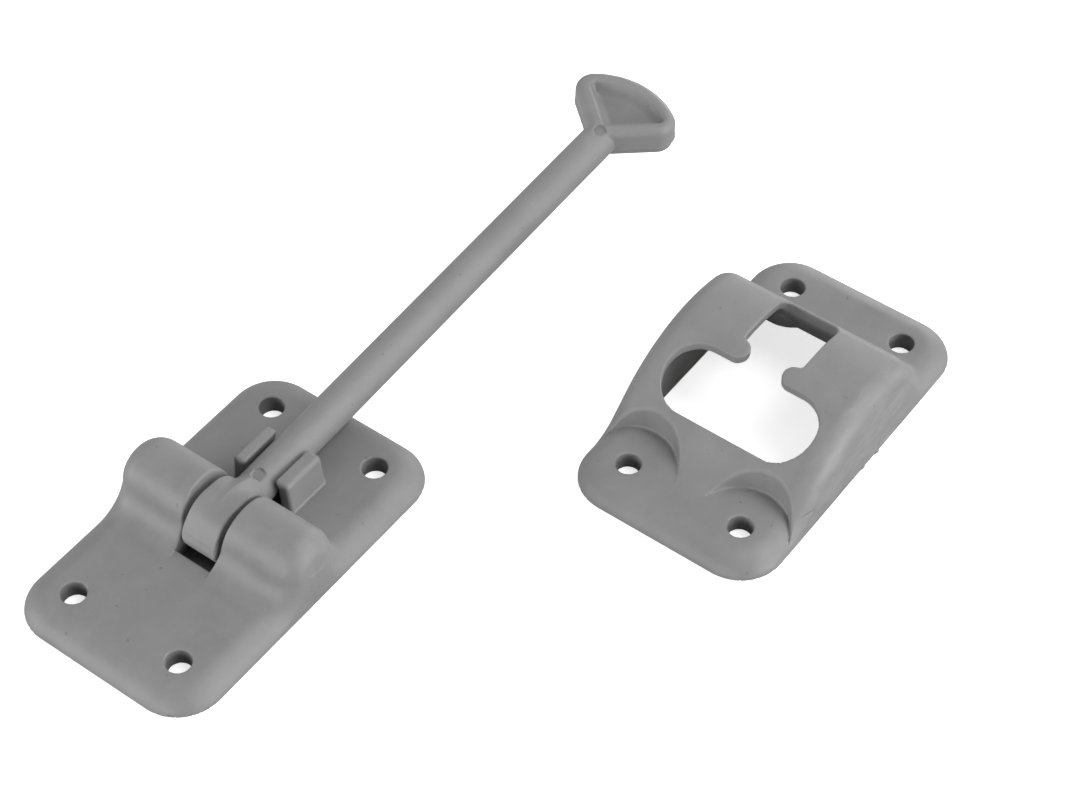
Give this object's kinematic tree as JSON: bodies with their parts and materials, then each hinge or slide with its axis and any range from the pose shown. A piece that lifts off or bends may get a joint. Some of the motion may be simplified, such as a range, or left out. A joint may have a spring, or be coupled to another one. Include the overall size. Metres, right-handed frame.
{
  "type": "door catch",
  "caption": "Door holdback catch in moulded plastic: a screw-on base with a swinging T-headed arm, and a ramped keeper plate whose window takes the arm's head.",
  "frame": {"origin": "middle of the base plate's four screw holes, on its mounting face", "axes": "+X along the arm from the hinge towards the head, +Z off the mounting face, +Y to the left of the arm"},
  "size_m": [0.1832, 0.1156, 0.0193],
  "materials": {
    "plate_plastic": "satin, as moulded, mid grey",
    "arm_plastic": "satin, as moulded, mid grey",
    "pin_steel": "drawn"
  },
  "bodies": {
    "base": {"base_plate": "plate_plastic", "hinge_pin": "pin_steel", "keeper_plate": "plate_plastic"},
    "arm": {"hold_arm": "arm_plastic"}
  },
  "joints": [
    {"name": "arm_pivot", "type": "hinge", "parent": "base", "child": "arm", "pos_m": [-0.001, 0, 0.00765], "axis": [0, -1, 0], "range_deg": [0, 87]}
  ]
}
